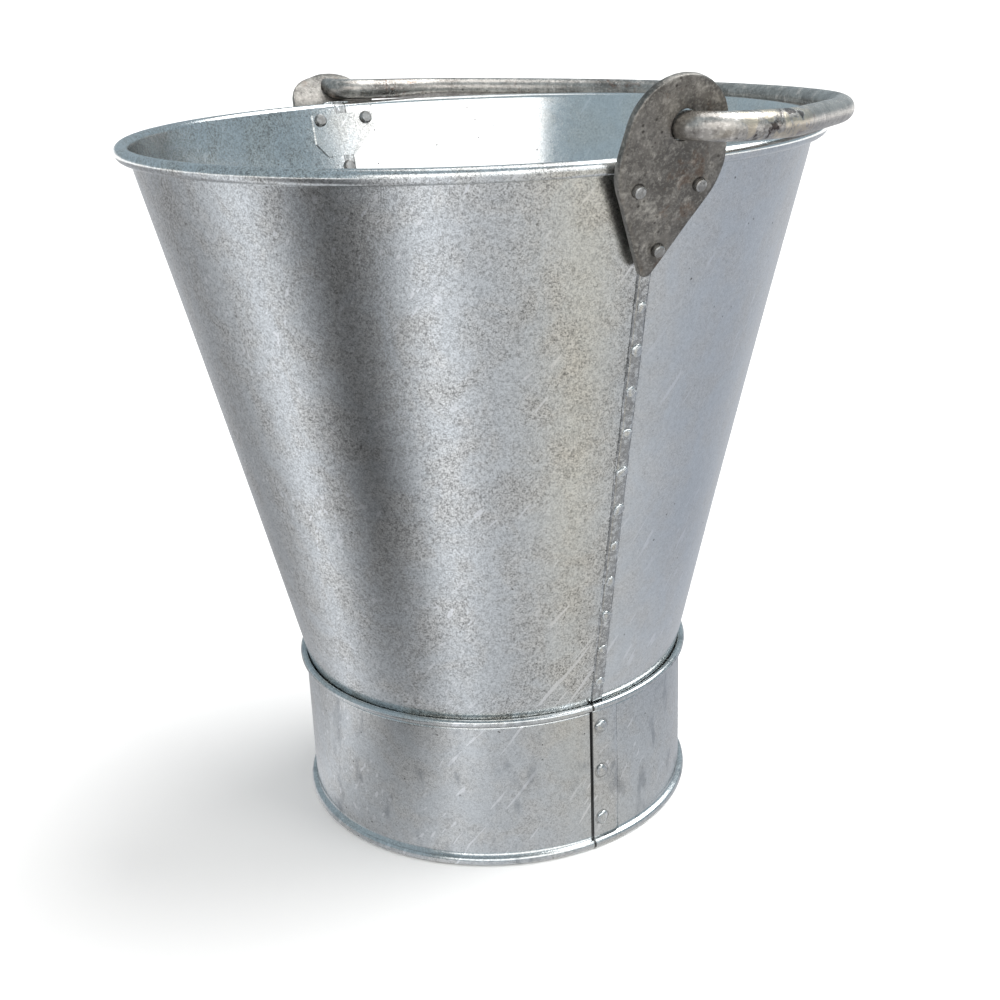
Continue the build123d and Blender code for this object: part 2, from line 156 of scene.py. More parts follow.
def zincLook(name, bright, rough, grainShare=1.0, smudges=0.0, shadeMask=None, seamed=False):
    look = Look(name)
    cloud = look.noise(zinc["cloud"], 4.0, 0.6)
    drift = look.noise(zinc["cloud"] * 4, 3.0, 0.6, 0.4)
    grain = look.noise(zinc["grain"], 4.0, 0.62, 1.1)
    flake = look.node("SeparateColor", {}, {"Color": look.cells(zinc["flake"], "Color")}, 0)
    curl = look.size(look.noise(zinc["curl"], 3.0, 0.55, 1.6) - 0.49)
    crinkle = look.ramp(grain, 0.38, 0.57) * 0.55 + look.ramp(curl, 0.008, 0.05) * 0.45
    share = grainShare
    if seamed:  # the sheet on the far side of the seam is smoother
        across = seamPlace(look)
        share = look.ramp(across, 2.0 * mm, 6.0 * mm, 1.0, 0.36) * grainShare
    pits = look.ramp(look.cells(zinc["pits"]), 0.07, 0.13)
    rare = look.ramp(look.noise(60.0, 2.0), 0.55, 0.62, 1.0, 0.0)
    spots = 1 - (1 - pits) * (1 - rare)
    depth = look.ramp(drift, 0.30, 0.75, 0.55, 1.0)
    tone = 1.04 - 0.95 * (1 - crinkle) * share * depth + 0.05 * (flake - 0.5) + 0.26 * (cloud - 0.5)
    base = look.mix(look.ramp(drift, 0.35, 0.70), rgb(bright * 0.965, bright, bright * 1.01),
                    rgb(bright, bright, bright * 0.97))
    toneColour = look.node("CombineColor", {}, {0: tone, 1: tone, 2: tone})
    colour = look.mix(1.0, base, toneColour, "MULTIPLY")
    colour = look.mix((1 - spots) * 0.75, colour, rgb(0.09, 0.085, 0.08))
    slant = look.node("Mapping", {"vector_type": "TEXTURE"},
                      {"Vector": look.place, "Rotation": (-0.62, 0.25, 0.0), "Scale": (1.0, 1.0, 26.0)})
    scratch = look.ramp(look.noise(430.0, 1.0, 0.4, where=slant), 0.665, 0.70)
    scratch = scratch * look.ramp(look.noise(24.0, 2.0), 0.47, 0.55)
    colour = look.mix(scratch * 0.7, colour, rgb(0.92, 0.93, 0.94))
    roughness = rough + 0.10 * (1 - crinkle) * share + 0.04 * flake
    roughness = roughness + 0.10 * (cloud - 0.5) + 0.15 * (1 - spots)
    if smudges:
        streaks = look.stretch(1.0, 1.0, 0.45)
        faint = look.ramp(look.noise(85.0, 3.0, 0.6, 0.3, streaks), 0.54, 0.70)
        colour = look.mix(faint * smudges, colour, rgb(0.25, 0.27, 0.29))
    # painted shade: the given mask darkens the surface nearly to black
    if shadeMask is not None:
        colour = look.mix(shadeMask(look), colour, rgb(0.035, 0.033, 0.03))
    height = grain * share + 0.12 * flake
    if seamed:
        broken = look.ramp(look.noise(330.0, 3.0, 0.6), 0.36, 0.56)
        onLap = look.ramp(across, (zinc["lapFrom"] - 0.4) * mm, zinc["lapFrom"] * mm)
        onLap = onLap * look.ramp(across, zinc["lapTo"] * mm, (zinc["lapTo"] + 0.3) * mm, 1.0, 0.0)
        # painted shade: dark lines along both edges of the seam lap, where its step and gap lie in shade
        lapEdgeShade = 0.8 * edgeLine(look, across, zinc["lapFrom"], 0.26)
        lapEdgeShade = edgeLine(look, across, zinc["lapTo"] + 0.1, 0.42) + lapEdgeShade
        colour = look.mix(lapEdgeShade * broken * 0.85, colour, rgb(0.06, 0.058, 0.055))
        dulled = look.ramp(look.noise(520.0, 3.0), 0.42, 0.62, 0.65, 0.0)
        colour = look.mix(onLap * dulled, colour, rgb(0.30, 0.30, 0.30))
        roughness = roughness + 0.10 * onLap
        height = height + 1.4 * onLap * look.noise(420.0, 2.0)
    fine = look.bump(height, zinc["grainRise"], 0.9)
    return look.feed(Base_Color=colour, Metallic=1.0, Roughness=roughness, Normal=fine)


# shadeMarks is how far the painted shade ring lies from each rivet's centre
bandRivetSize = {"heights": (61.0, 38.5, 14.5), "across": 5.6, "ring": 91.0, "head": 2.9, "rise": 1.55,
                 "shadeMarks": 3.3}


def paintedLapShade(look):  # painted shade: a dark line in the open edge of the foot band's lap, where the gap lies in shade, and a darker ring round each rivet's head
    d = bandRivetSize
    across = look.size(look.axis(1) - 0.75 * mm)
    shadeMarks = look.ramp(across, 0.35 * mm, 0.8 * mm, 0.9, 0.0) * (look.axis(0) > 0.0)
    for height in d["heights"]:
        away = look.farFrom((d["ring"] * mm, d["across"] * mm, height * mm))
        shadeMarks = shadeMarks + look.ramp(look.size(away - d["shadeMarks"] * mm), 0.2 * mm, 0.7 * mm, 0.35, 0.0)
    return shadeMarks


def steelLook(name, dark, mid, light, rust, rough, rustShare, litTopShare=0.0, rings=(), flaked=()):
    look = Look(name)
    broad = look.noise(55.0, 5.0, 0.62, 0.1)
    fine = look.noise(620.0, 4.0, 0.68)
    blotch = look.noise(190.0, 5.0, 0.72, 0.2)
    grit = look.noise(330.0, 4.0, 0.7)
    colour = look.mix(look.ramp(broad, 0.32, 0.68), dark, mid)
    colour = look.mix(look.ramp(blotch, 0.48, 0.74) * 0.75, colour, light)
    colour = look.mix(look.ramp(grit, 0.48, 0.60) * 0.6, colour, dark)
    colour = look.mix(look.ramp(look.noise(900.0, 3.0, 0.6), 0.50, 0.62) * 0.45, colour, light)
    colour = look.mix(look.ramp(look.noise(75.0, 5.0, 0.7, 0.3), 0.57, 0.68) * rustShare, colour, rust)
    fleck = look.ramp(look.cells(300.0), 0.10, 0.22, 1.0, 0.0) * look.ramp(broad, 0.50, 0.58)
    colour = look.mix(fleck * 0.65, colour, rgb(0.035, 0.03, 0.026))
    # painted highlight and wear: faces that look upwards are made lighter, partly rubbed wear and partly painted
    # top light
    facing = look.node("SeparateXYZ", {}, {0: look.node("TexCoord", {}, {}, "Normal")}, 2)
    wornAndLitTop = look.ramp(facing, 0.10, 0.95) * look.ramp(fine, 0.36, 0.60) * look.ramp(broad, 0.34, 0.56) * litTopShare
    colour = look.mix(wornAndLitTop, colour, rgb(0.60, 0.575, 0.54))
    for spot in rings:  # painted shadow: a dark ring round the base of each rivet
        rivetShadow = look.ramp(look.farFrom(tuple(spot)), 2.4 * mm, 2.95 * mm, 0.8, 0.0)
        colour = look.mix(rivetShadow, colour, rgb(0.03, 0.026, 0.022))
    if flaked:  # old paint left in flakes on the shoulder by the near ear
        start, end = flaked
        zone = look.ramp(look.axis(1), (start - 8) * mm, start * mm)
        zone = zone * look.ramp(look.axis(1), (end - 20) * mm, end * mm, 1.0, 0.0)
        zone = zone * (look.axis(0) > 0.1)
        patch = look.noise(140.0, 4.0, 0.6, 0.8)
        colour = look.mix(zone * look.ramp(patch, 0.50, 0.55) * 0.85, colour, rgb(0.60, 0.53, 0.42))
        gaps = look.ramp(patch, 0.40, 0.44, 1.0, 0.0)
        colour = look.mix(zone * gaps * 0.85, colour, rgb(0.05, 0.035, 0.03))
    roughness = rough + 0.22 * (fine - 0.5) + 0.20 * (broad - 0.5) - 0.12 * wornAndLitTop
    metal = 0.95 - 0.40 * look.ramp(blotch, 0.50, 0.72)
    dents = look.bump(broad, 0.0009, 0.5)
    pitted = look.bump(fine + 0.8 * blotch + 0.6 * grit, 0.00020, 0.85, dents)
    return look.feed(Base_Color=colour, Metallic=metal, Roughness=roughness, Normal=pitted)


earRivets = {"lean": 17.5, "faceX": 154.5, "rimZ": 309.5, "places": ((-14.5, -8.5), (10.5, -8.5), (-2.0, -32.0))}


def rivetSpots():  # where the ear rivets stand on the ears' outer faces
    d = earRivets
    lean = math.radians(d["lean"])
    spots = []
    for side in (1, -1):
        for y, s in d["places"]:
            x, z = d["faceX"] + s * math.sin(lean), d["rimZ"] + s * math.cos(lean)
            spots.append(Vector((side * x, y, z)) * mm)
    return spots


sheetFinish = zincLook("galvanisedSheet", 0.82, 0.13, seamed=True)
plainFinish = zincLook("galvanisedPlate", 0.78, 0.22, 0.8)
bandFinish = zincLook("galvanisedBand", 0.72, 0.19, 0.6, 0.5, paintedLapShade)
wireFinish = zincLook("ringWire", 0.62, 0.30, 0.5)
earFinish = steelLook("earSteel", rgb(0.13, 0.122, 0.112), rgb(0.26, 0.245, 0.225), rgb(0.40, 0.385, 0.35),
                      rgb(0.15, 0.085, 0.05), 0.42, 0.45, 0.12, rivetSpots())
bailFinish = steelLook("bailSteel", rgb(0.25, 0.23, 0.21), rgb(0.50, 0.475, 0.44), rgb(0.70, 0.67, 0.63),
                       rgb(0.24, 0.12, 0.075), 0.32, 0.6, 0.75, (), (16.0, 60.0))
rivetFinish = steelLook("rivetZinc", rgb(0.25, 0.24, 0.23), rgb(0.40, 0.40, 0.39), rgb(0.54, 0.55, 0.55),
                        rgb(0.18, 0.12, 0.09), 0.34, 0.3, 0.3)
print("finishes made")


def addPiece(name, points, faces, finish, body, slot, *replaced):
    mesh = bpy.data.meshes.new(name)
    mesh.from_pydata([tuple(p) for p in points], [], faces)
    tidy = bmesh.new()
    tidy.from_mesh(mesh)
    bmesh.ops.recalc_face_normals(tidy, faces=tidy.faces)
    tidy.to_mesh(mesh)
    tidy.free()
    mesh.shade_smooth()
    mesh.materials.append(finish)
    piece = bpy.data.objects.new(name, mesh)
    bpy.context.scene.collection.objects.link(piece)
    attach(piece, body)
    if replaced:
        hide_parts(*replaced)
    print("piece", name, len(mesh.vertices))
    return piece


def gridFaces(columns, rows, wrapColumns, wrapRows):
    faces = []
    for c in range(columns if wrapColumns else columns - 1):
        for r in range(rows if wrapRows else rows - 1):
            nc, nr = (c + 1) % columns, (r + 1) % rows
            faces.append((c * rows + r, nc * rows + r, nc * rows + nr, c * rows + nr))
    return faces


def capFace(first, count, flip=False):
    loop = list(range(first, first + count))
    return tuple(reversed(loop)) if flip else tuple(loop)


def wave(x, y, z, scale, seed):  # smooth noise from -1 to 1
    return noise.noise(Vector((x * scale + seed, y * scale - seed, z * scale + 2 * seed)))


bodySize = {
    "beadZ": 309.5, "beadRing": 147.0, "beadRadius": 3.0, "skirtBottom": 50.0, "skirtTop": 72.0,
    "lowRadius": 89.2, "topRadius": 144.8, "sheet": 0.8, "seamTopY": -3.2, "seamLean": 1.5,
    "lapRoot": -1.2, "lapEnd": 3.6, "hollow": 0.55, "ripple": 0.22, "rowStep": 2.6,
}


wallSlope = (bodySize["topRadius"] - bodySize["lowRadius"]) / (bodySize["beadZ"] - bodySize["skirtTop"])


def wallRadius(z):
    return bodySize["lowRadius"] + (z - bodySize["skirtTop"]) * wallSlope


def seamY(z):
    return bodySize["seamTopY"] + (bodySize["beadZ"] - z) * math.tan(math.radians(bodySize["seamLean"]))


def wallShift(angle, z):  # how far the beaten sheet strays from a true cone
    low, high = bodySize["skirtTop"], bodySize["beadZ"]
    t = min(1.0, max(0.0, (z - low) / (high - low)))
    hollow = -bodySize["hollow"] * math.sin(math.pi * t)
    x, y = math.cos(angle), math.sin(angle)
    ripple = wave(x * 1.7, y * 1.7, z * 0.006, 1.0, 3.1) + 0.45 * wave(x * 5, y * 5, z * 0.016, 1.0, 9.7)
    fade = min(1.0, 4 * t * (1 - t) + 0.12)
    return hollow + bodySize["ripple"] * ripple * fade


def bodyProfile():
    d = bodySize
    rows = []
    depth = d["skirtTop"] - d["skirtBottom"]
    steps = int(depth / 5)
    for k in range(steps + 1):
        rows.append((d["lowRadius"], d["skirtBottom"] + k * depth / steps, "skirt"))
    joinAngle = math.radians(211)
    joinZ = d["beadZ"] + d["beadRadius"] * math.sin(joinAngle)
    count = int((joinZ - d["skirtTop"]) / d["rowStep"])
    for k in range(1, count + 1):
        z = d["skirtTop"] + k * (joinZ - d["skirtTop"]) / count
        rows.append((wallRadius(z), z, "wall"))
    for k in range(1, 27):
        a = joinAngle + k * math.radians(328) / 26
        ring, z = d["beadRing"] + d["beadRadius"] * math.cos(a), d["beadZ"] + d["beadRadius"] * math.sin(a)
        rows.append((ring, z, "bead"))
    count = 46
    top = d["beadZ"] - 0.6
    for k in range(1, count + 1):
        z = top + k * (d["skirtTop"] - top) / count
        rows.append((wallRadius(z) - d["sheet"], z, "wall"))
    for k in range(1, steps + 1):
        rows.append((d["lowRadius"] - d["sheet"], d["skirtTop"] - k * depth / steps, "skirt"))
    return rows


def roundColumns(coarse, fineCentres, fineHalf, fine):
    angles = []
    a = 0.0
    while a < 360.0:
        angles.append(a)
        near = any(abs((a - c + 180) % 360 - 180) < fineHalf for c in fineCentres)
        a += fine if near else coarse
    return [math.radians(a) for a in angles]


def beadRoll(angle):  # the rolled rim isn't perfectly even
    x, y = math.cos(angle), math.sin(angle)
    return 0.22 * wave(x * 3, y * 3, 0, 1.0, 5.5) + 0.12 * wave(x * 14, y * 14, 0, 1.0, 8.0)


def makeBody():
    profile = bodyProfile()
    angles = roundColumns(0.8, (0.0, 180.0), 4.0, 0.4)
    points = []
    for angle in angles:
        c, s = math.cos(angle), math.sin(angle)
        for radius, z, part in profile:
            move = wallShift(angle, z) if part == "wall" else 0.0
            if part == "bead":
                outward = radius - bodySize["beadRing"], z - bodySize["beadZ"]
                swell = beadRoll(angle) * 0.5
                radius += outward[0] / bodySize["beadRadius"] * swell - 0.05
                z += outward[1] / bodySize["beadRadius"] * swell * 0.5
            r = (radius + move) * mm
            points.append((r * c, r * s, z * mm))
    return addPiece("bucketBody", points, gridFaces(len(angles), len(profile), True, True), sheetFinish,
                    "bucket", "galvanised_sheet", "body_half_left", "body_half_right")


makeBody()

lapSize = {"low": 72.9, "high": 306.3, "rise": 0.85, "ramp": 0.8, "step": 1.2, "wander": 0.45, "skin": 0.35}


def makeLap(name, side, seed):  # the overlapping edge of one half, standing proud down the seam
    d = lapSize
    count = int((d["high"] - d["low"]) / d["step"])
    points = []
    for k in range(count + 1):
        z = d["low"] + k * (d["high"] - d["low"]) / count
        start = bodySize["lapRoot"] - d["ramp"] + 0.5 * d["wander"] * wave(z, 0, 0, 0.05, seed)
        stray = wave(z, 0, 0, 0.045, seed) + 0.7 * wave(z, 0, 0, 0.2, seed + 4)
        end = bodySize["lapEnd"] + d["wander"] * stray
        end = min(end, bodySize["lapEnd"] + 0.2)
        rise = d["rise"] * (1 + 0.22 * wave(z, 1, 0, 0.09, seed) + 0.16 * wave(z, 5, 0, 0.35, seed))
        top = start + d["ramp"]
        section = ((start, 0.02), (start + 0.35 * d["ramp"], 0.22 * rise),
                   (start + 0.7 * d["ramp"], 0.78 * rise), (top, 0.98 * rise), (top + 0.6, rise),
                   ((top + end) / 2, 0.94 * rise), (end - 0.55, rise),
                   (end - 0.16, 0.95 * rise), (end, 0.75 * rise), (end, 0.1 * rise),
                   (end - 0.2, -d["skin"]), (start + 0.3, -d["skin"]))
        for across, lift in section:
            y = seamY(z) + across
            turn = math.asin(y / wallRadius(z))
            r = wallRadius(z) + wallShift(turn if side > 0 else math.pi - turn, z) + lift
            points.append((side * math.sqrt(r * r - y * y) * mm, y * mm, z * mm))
    rows = 12
    faces = gridFaces(count + 1, rows, False, True) + [capFace(0, rows), capFace(count * rows, rows, True)]
    return addPiece(name, points, faces, sheetFinish, "bucket", "galvanised_sheet")


makeLap("nearSeamLap", 1, 2.3)
makeLap("farSeamLap", -1, 7.9)

rivetSize = {"count": 11, "low": 84.0, "high": 256.0, "y": 1.2, "radius": 2.4, "rise": 1.15}


def domeMesh(centre, normal, radius, rise, seed, depth, rings=6, around=20):
    # a hammered dome with a short skirt that runs into the sheet
    side = Vector((0, 0, 1)).cross(normal).normalized()
    up = normal.cross(side)
    points = []
    for k in range(rings):
        t = k / rings * math.pi / 2
        for j in range(around):
            a = 2 * math.pi * j / around
            wobble = 1 + 0.12 * math.sin(2 * a + seed) + 0.07 * math.sin(3 * a + 2.3 * seed)
            r = radius * math.cos(t) * wobble
            h = rise * math.sin(t) ** 0.8 * (1 + 0.12 * math.sin(a + 1.7 * seed))
            points.append(centre + (side * math.cos(a) + up * math.sin(a)) * r * mm + normal * h * mm)
    points.append(centre + normal * rise * 0.97 * mm)
    bottom = [centre + (p - centre) - normal * depth * mm for p in points[:around]]
    bottomCentre = centre - normal * depth * mm
    faces = []
    for k in range(rings - 1):
        for j in range(around):
            n = (j + 1) % around
            faces.append((k * around + j, k * around + n, (k + 1) * around + n, (k + 1) * around + j))
    top = rings * around
    low = top + 1
    for j in range(around):
        n = (j + 1) % around
        faces.append(((rings - 1) * around + j, (rings - 1) * around + n, top))
        faces.append((j, low + j, low + n, n))
        faces.append((low + n, low + j, low + around))
    return points + bottom + [bottomCentre], faces


def joined(parts):
    points, faces = [], []
    for morePoints, moreFaces in parts:
        first = len(points)
        points += morePoints
        faces += [tuple(first + k for k in f) for f in moreFaces]
    return points, faces


def wallSpot(side, y, z, lift):
    r = wallRadius(z) + lift
    slope = math.atan(wallSlope)
    turn = math.asin(y / r)
    flat = Vector((side * math.cos(turn), math.sin(turn), 0))
    normal = flat * math.cos(slope) - Vector((0, 0, math.sin(slope)))
    return Vector((r * flat.x, r * flat.y, z)) * mm, normal.normalized()


def makeSeamRivets(name, side, seed, node):
    d = rivetSize
    parts = []
    for k in range(d["count"]):
        z = d["low"] + k * (d["high"] - d["low"]) / (d["count"] - 1)
        y = seamY(z) + d["y"] + 0.2 * math.sin(seed + 2.7 * k)
        shift = wallShift(0.0 if side > 0 else math.pi, z)
        size = 1 + 0.14 * math.sin(seed * 3 + 1.9 * k)
        centre, normal = wallSpot(side, y, z, bodySize["sheet"] + shift)
        parts.append(domeMesh(centre, normal, d["radius"] * size, d["rise"] * size, seed + k, 0.5))
        centre, normal = wallSpot(side, y, z, shift - bodySize["sheet"])
        parts.append(domeMesh(centre, -normal, d["radius"], 0.45, seed - k, 0.3))
    points, faces = joined(parts)
    return addPiece(name, points, faces, plainFinish, "bucket", "rivets", node)


makeSeamRivets("nearSeamHeads", 1, 1.3, "near_seam_rivets")
makeSeamRivets("farSeamHeads", -1, 4.1, "far_seam_rivets")

# The rim's joint sleeves, one over each seam
sleeveSize = {"reach": 7.0, "sheet": 0.7, "wrap": 250.0, "start": 215.0}


def makeSleeve(name, side):
    d = sleeveSize
    inner, outer = bodySize["beadRadius"] - 0.15, bodySize["beadRadius"] + d["sheet"]
    ringCount, points = 11, []
    middle = math.asin(bodySize["seamTopY"] / bodySize["beadRing"])
    half = d["reach"] / bodySize["beadRing"]
    section = []
    bends = 22
    for k in range(bends + 1):
        section.append((outer, d["start"] + k * d["wrap"] / bends))
    for k in range(bends, -1, -1):
        section.append((inner, d["start"] + k * d["wrap"] / bends))
    for j in range(ringCount):
        t = -1 + 2 * j / (ringCount - 1)
        a = middle + half * t
        pinch = 1 - 0.35 * abs(t) ** 6
        for radius, turn in section:
            rr = inner + (radius - inner) * pinch + 0.06 * math.sin(3 * t + turn * 0.02)
            ring = bodySize["beadRing"] + rr * math.cos(math.radians(turn))
            z = bodySize["beadZ"] + rr * math.sin(math.radians(turn))
            points.append((side * ring * math.cos(a) * mm, ring * math.sin(a) * mm, z * mm))
    rows = len(section)
    faces = gridFaces(ringCount, rows, False, True)
    for first in (0, (ringCount - 1) * rows):
        for k in range(bends):
            faces.append((first + k, first + k + 1, first + rows - 2 - k, first + rows - 1 - k))
    return addPiece(name, points, faces, sheetFinish, "bucket", "galvanised_sheet")


makeSleeve("nearRimSleeve", 1)
makeSleeve("farRimSleeve", -1)


bandSize = {
    "radius": 90.2, "sheet": 0.9, "lipRing": 91.1, "lipZ": 71.2, "lipRadius": 1.7, "footRing": 90.5,
    "footZ": 2.2, "footRadius": 2.4, "lapStart": 1.0, "lapSheet": 0.8,
    "lapLow": 4.3, "lapHigh": 69.5,
    "ripple": 0.16,
}


def bandShift(angle, z):
    x, y = math.cos(angle), math.sin(angle)
    t = (z - bandSize["footZ"]) / (bandSize["lipZ"] - bandSize["footZ"])
    fade = min(1.0, max(0.0, 4 * t * (1 - t)))
    bulge = 0.45 * wave(x * 4, y * 4, z * 0.03, 1.0, 6.4)
    return bandSize["ripple"] * fade * (wave(x * 2.2, y * 2.2, z * 0.01, 1.0, 2.2) + bulge)


def makeBand():
    d = bandSize
    rows = []
    lipStart = math.radians(236)
    for k in range(23):
        z = d["footZ"] + 1.3 + k * (d["lipZ"] - 2.4 - d["footZ"]) / 22
        rows.append((d["radius"], z, True))
    for k in range(19):  # lip bead, round from outside underneath to inside on top
        a = lipStart + k * math.radians(300) / 18
        ring, z = d["lipRing"] + d["lipRadius"] * math.cos(a), d["lipZ"] + d["lipRadius"] * math.sin(a)
        rows.append((ring, z, False))
    for k in range(12):
        z = d["lipZ"] - 0.2 - k * (d["lipZ"] - 1.5 - d["footZ"]) / 11
        rows.append((d["radius"] - d["sheet"], z, True))
    floorTurn = math.asin(-d["footZ"] / d["footRadius"])
    inside = math.radians(160)
    for k in range(9):  # foot bead, from inside down to its flat bottom
        a = inside + k * (math.pi - floorTurn - inside) / 8
        ring, z = d["footRing"] + d["footRadius"] * math.cos(a), d["footZ"] + d["footRadius"] * math.sin(a)
        rows.append((ring, z, False))
    for k in range(11):
        a = 2 * math.pi + floorTurn + k * (math.radians(52) - floorTurn) / 10
        ring, z = d["footRing"] + d["footRadius"] * math.cos(a), d["footZ"] + d["footRadius"] * math.sin(a)
        rows.append((ring, max(0.0, z), False))
    angles = roundColumns(1.0, (0.0,), 2.0, 0.1)
    points = []
    for angle in angles:
        c, s = math.cos(angle), math.sin(angle)
        for radius, z, plain in rows:
            move = bandShift(angle, z) if plain else 0.06 * wave(c * 9, s * 9, z * 0.1, 1.0, 4.4)
            y = radius * s
            if plain and c > 0 and 0.4 < y < 1.1 and radius > d["radius"] - 0.1:
                move -= 0.4
            r = (radius + move) * mm
            points.append((r * c, r * s, z * mm))
    return addPiece("footBand", points, gridFaces(len(angles), len(rows), True, True), bandFinish,
                    "bucket", "galvanised_band", "foot_band")


def makeBandLap():
    d = bandSize
    section = ((0.0, -0.45), (0.0, 0.55), (0.12, 0.78), (0.4, 0.86), (4.0, 0.84), (9.0, 0.82), (11.6, 0.78),
               (13.2, 0.55), (14.0, 0.12), (14.1, -0.45))
    count = 44
    points = []
    for k in range(count + 1):
        z = d["lapLow"] + k * (d["lapHigh"] - d["lapLow"]) / count
        for across, lift in section:
            edge = 0.22 * wave(z, 3, 0, 0.07, 5.0) if across < 1 else 0
            y = d["lapStart"] + across + edge + 0.35 * (0.5 - k / count)
            r = d["radius"] + lift * d["lapSheet"] / 0.86 + bandShift(math.asin(y / d["radius"]), z)
            points.append((math.sqrt(r * r - y * y) * mm, y * mm, z * mm))
    rows = len(section)
    faces = gridFaces(count + 1, rows, False, True) + [capFace(0, rows), capFace(count * rows, rows, True)]
    return addPiece("footBandLap", points, faces, bandFinish, "bucket", "galvanised_band")


def makeBandRivets():
    parts = []
    d = bandRivetSize
    for k, z in enumerate(d["heights"]):
        turn = math.asin(d["across"] / d["ring"])
        normal = Vector((math.cos(turn), math.sin(turn), 0))
        outside = bandSize["radius"] + bandSize["lapSheet"] - 0.05
        centre = normal * outside * mm + Vector((0, 0, z * mm))
        parts.append(domeMesh(centre, normal, d["head"], d["rise"], 2.0 + 1.7 * k, 0.4, 8, 28))
        inside = normal * (bandSize["radius"] - bandSize["sheet"] + 0.05) * mm + Vector((0, 0, z * mm))
        parts.append(domeMesh(inside, -normal, 2.2, 0.45, 5.0 + k, 0.3))
    points, faces = joined(parts)
    return addPiece("bandRivetHeads", points, faces, bandFinish, "bucket", "rivets",
                    "band_rivet_upper", "band_rivet_middle", "band_rivet_lower")


makeBand()
makeBandLap()
makeBandRivets()


earSize = {
    "sheet": 3.0, "lean": 17.5, "faceX": 154.5, "shift": -2.0, "bellyS": -0.5,
    "bellyRadius": 21.6, "tipS": -40.0, "tipY": -3.0, "tipRadius": 2.6, "edge": 0.55,
    "foldS": 3.0, "fold": 38.5, "foldRun": 6.0,
}
hingeNear, hingeFar = Vector((159.0, 0, 322.5)), Vector((-159.0, 0, 318.7))


def hullOf(points):
    ordered = sorted(set(points))

    def half(seq):
        made = []
        for p in seq:
            while len(made) > 1 and ((made[-1][0] - made[-2][0]) * (p[1] - made[-2][1])
                                     - (made[-1][1] - made[-2][1]) * (p[0] - made[-2][0])) <= 0:
                made.pop()
            made.append(p)
        return made

    return half(ordered)[:-1] + half(reversed(ordered))[:-1]


def evenLoop(loop, step):
    total, marks = 0.0, [0.0]
    closed = loop + loop[:1]
    for a, b in zip(closed, closed[1:]):
        total += math.dist(a, b)
        marks.append(total)
    count = int(total / step)
    xs = np.interp(np.arange(count) * total / count, marks, [p[0] for p in closed])
    ys = np.interp(np.arange(count) * total / count, marks, [p[1] for p in closed])
    return list(zip(xs, ys))


def earOutline(side, head):
    d = earSize
    circles = ((side * head[0], head[2], head[1]), (side * d["shift"], d["bellyS"], d["bellyRadius"]),
               (side * (d["shift"] + d["tipY"]), d["tipS"], d["tipRadius"]))
    cloud = []
    for cx, cs, r in circles:
        turns = [2 * math.pi * k / 240 for k in range(240)]
        cloud += [(cx + r * math.cos(turn), cs + r * math.sin(turn)) for turn in turns]
    return evenLoop(hullOf(cloud), 0.8)


def makeEar(name, side, holeRadius, head, hinge, bend, curl, seed, node):
    d = earSize
    lean = math.radians(d["lean"])
    origin = Vector((side * d["faceX"], 0, bodySize["beadZ"]))
    up = Vector((side * math.sin(lean), 0, math.cos(lean)))
    out = Vector((side * math.cos(lean), 0, -math.sin(lean)))
    across = Vector((0, side, 0))
    outline = earOutline(side, head)
    holeS = (hinge - origin).dot(up) + (0.0 if not bend else 0.9)
    hole = (0.0, holeS)
    tilt = lean + (math.radians(d["fold"]) * 0.35 if bend else 0.0)
    e = d["edge"]
    back = -d["sheet"]
    profile = [("hole", e, 0.0), ("hole", 0.25 * e, -0.2 * e), ("hole", 0.0, -e), ("hole", 0.0, back / 2),
               ("hole", 0.0, back + e), ("hole", 0.25 * e, back + 0.2 * e), ("hole", e, back)]
    spans = 14
    profile += [("span", k / spans, back) for k in range(1, spans)]
    profile += [("rim", e, back), ("rim", 0.25 * e, back + 0.2 * e), ("rim", 0.0, back + e),
                ("rim", 0.0, back / 2), ("rim", 0.0, -e), ("rim", 0.25 * e, -0.2 * e), ("rim", e, 0.0)]
    profile += [("span", k / spans, 0.0) for k in range(spans - 1, 0, -1)]
    points = []
    for k, (px, ps) in enumerate(outline):
        dx, ds = px - hole[0], ps - hole[1]
        length = math.hypot(dx, ds)
        ux, us = dx / length, ds / length
        chip = 0.16 * wave(px, ps, 0, 0.11, seed) + 0.07 * wave(px, ps, 0, 0.5, seed + 3)
        rim = length + min(0.1, chip)
        for kind, value, depth in profile:
            slip = 0.0
            if kind == "hole":  # the hole runs along the hinge, not square to the leaning plate
                stretch = 1 / math.hypot(ux, us * math.cos(tilt))
                r = holeRadius * stretch + value
                slip = depth * math.tan(tilt)
            elif kind == "rim":
                r = rim - value
            else:
                inner = holeRadius / math.hypot(ux, us * math.cos(tilt)) + e
                r = inner + (rim - e - inner) * value
                slip = depth * math.tan(tilt) * (1 - value)
            x, s = hole[0] + ux * r, hole[1] + us * r + slip
            beat = 0.14 * wave(x, s, 0, 0.09, seed) + 0.06 * wave(x, s, 0, 0.3, seed + 2)
            w = depth + beat
            turn = 0.0
            bentS, bentW = s, 0.0
            if bend:
                start, run, total = d["foldS"] - d["foldRun"] / 2, d["foldRun"], math.radians(d["fold"])
                if s > start:
                    part = min(1.0, (s - start) / run)
                    turn = total * part
                    radius = run / total
                    bentS = start + radius * math.sin(turn)
                    bentW = radius * (1 - math.cos(turn))
                    rest = max(0.0, s - start - run)
                    extra = math.radians(curl) * min(1.0, max(0.0, (s - holeS - 4) / 12)) ** 1.5
                    bentS += rest * math.cos(turn + extra * 0.5)
                    bentW += rest * math.sin(turn + extra * 0.5)
                    turn += extra
            place = origin + across * x + up * bentS + out * bentW
            normal = out * math.cos(turn) - up * math.sin(turn)
            points.append((place + normal * w) * mm)
    return addPiece(name, points, gridFaces(len(outline), len(profile), True, True), earFinish,
                    "bucket", "ear_steel", node)


